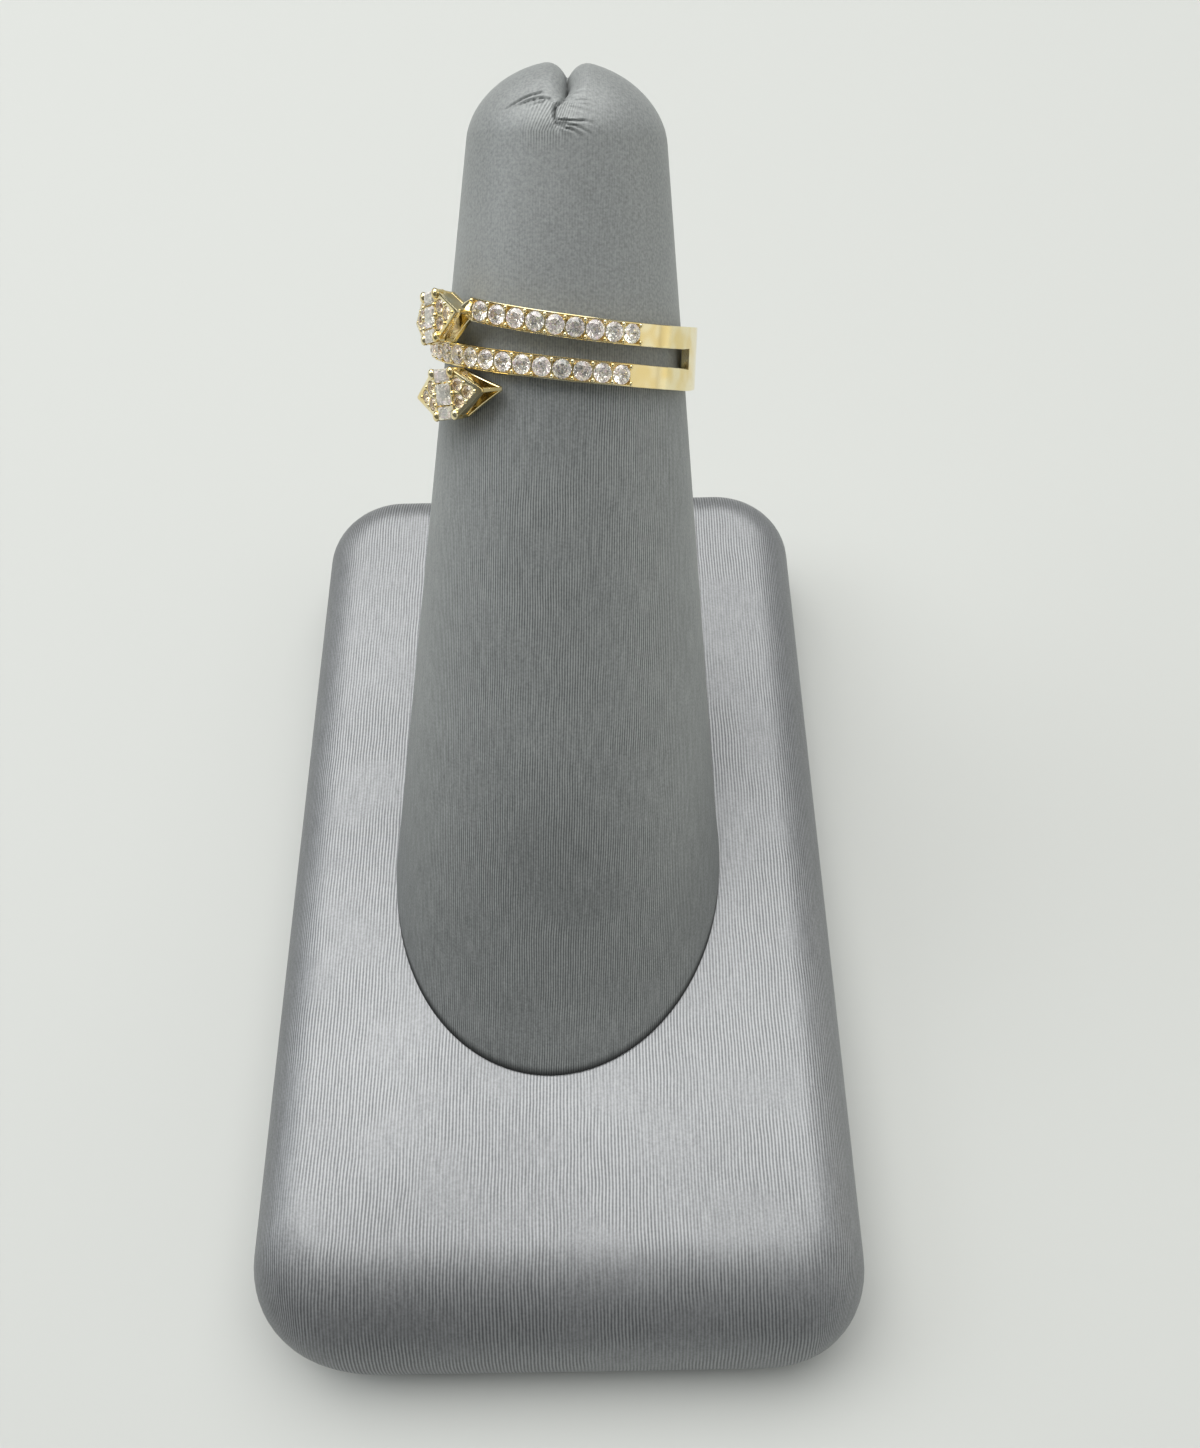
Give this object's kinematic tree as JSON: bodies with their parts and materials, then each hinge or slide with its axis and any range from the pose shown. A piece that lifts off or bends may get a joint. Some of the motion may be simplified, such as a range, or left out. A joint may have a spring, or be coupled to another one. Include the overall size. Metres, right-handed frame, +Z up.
{
  "type": "bypass ring on a finger display stand",
  "caption": "Yellow gold bypass ring with pave bands and raised openwork heads of step-cut and round stones, held on a padded leaning finger display stand.",
  "frame": {"origin": "centre of the stand's flat underside", "axes": "+Z up from the surface that the stand rests on; the finger leans back towards +Y; +X to the right when the finger's tip points up and away"},
  "size_m": [0.0446, 0.0785, 0.056],
  "materials": {
    "stand_cover": "satin, fine grained",
    "ring_gold": "polished",
    "cubic_zirconia": "faceted, clear"
  },
  "bodies": {
    "root": {"stand_base": "stand_cover", "stand_finger": "stand_cover", "ring_setting": "ring_gold", "pave_row_middle": "cubic_zirconia", "pave_row_upper": "cubic_zirconia", "pave_row_lower": "cubic_zirconia", "column_stone_upper_1": "cubic_zirconia", "column_stone_upper_2": "cubic_zirconia", "column_stone_upper_3": "cubic_zirconia", "column_stone_lower_1": "cubic_zirconia", "column_stone_lower_2": "cubic_zirconia", "column_stone_lower_3": "cubic_zirconia", "round_stone_upper_1": "cubic_zirconia", "round_stone_upper_2": "cubic_zirconia", "round_stone_upper_3": "cubic_zirconia", "round_stone_upper_4": "cubic_zirconia", "round_stone_upper_5": "cubic_zirconia", "round_stone_upper_6": "cubic_zirconia", "round_stone_lower_1": "cubic_zirconia", "round_stone_lower_2": "cubic_zirconia", "round_stone_lower_3": "cubic_zirconia", "round_stone_lower_4": "cubic_zirconia", "round_stone_lower_5": "cubic_zirconia", "round_stone_lower_6": "cubic_zirconia"}
  },
  "joints": []
}
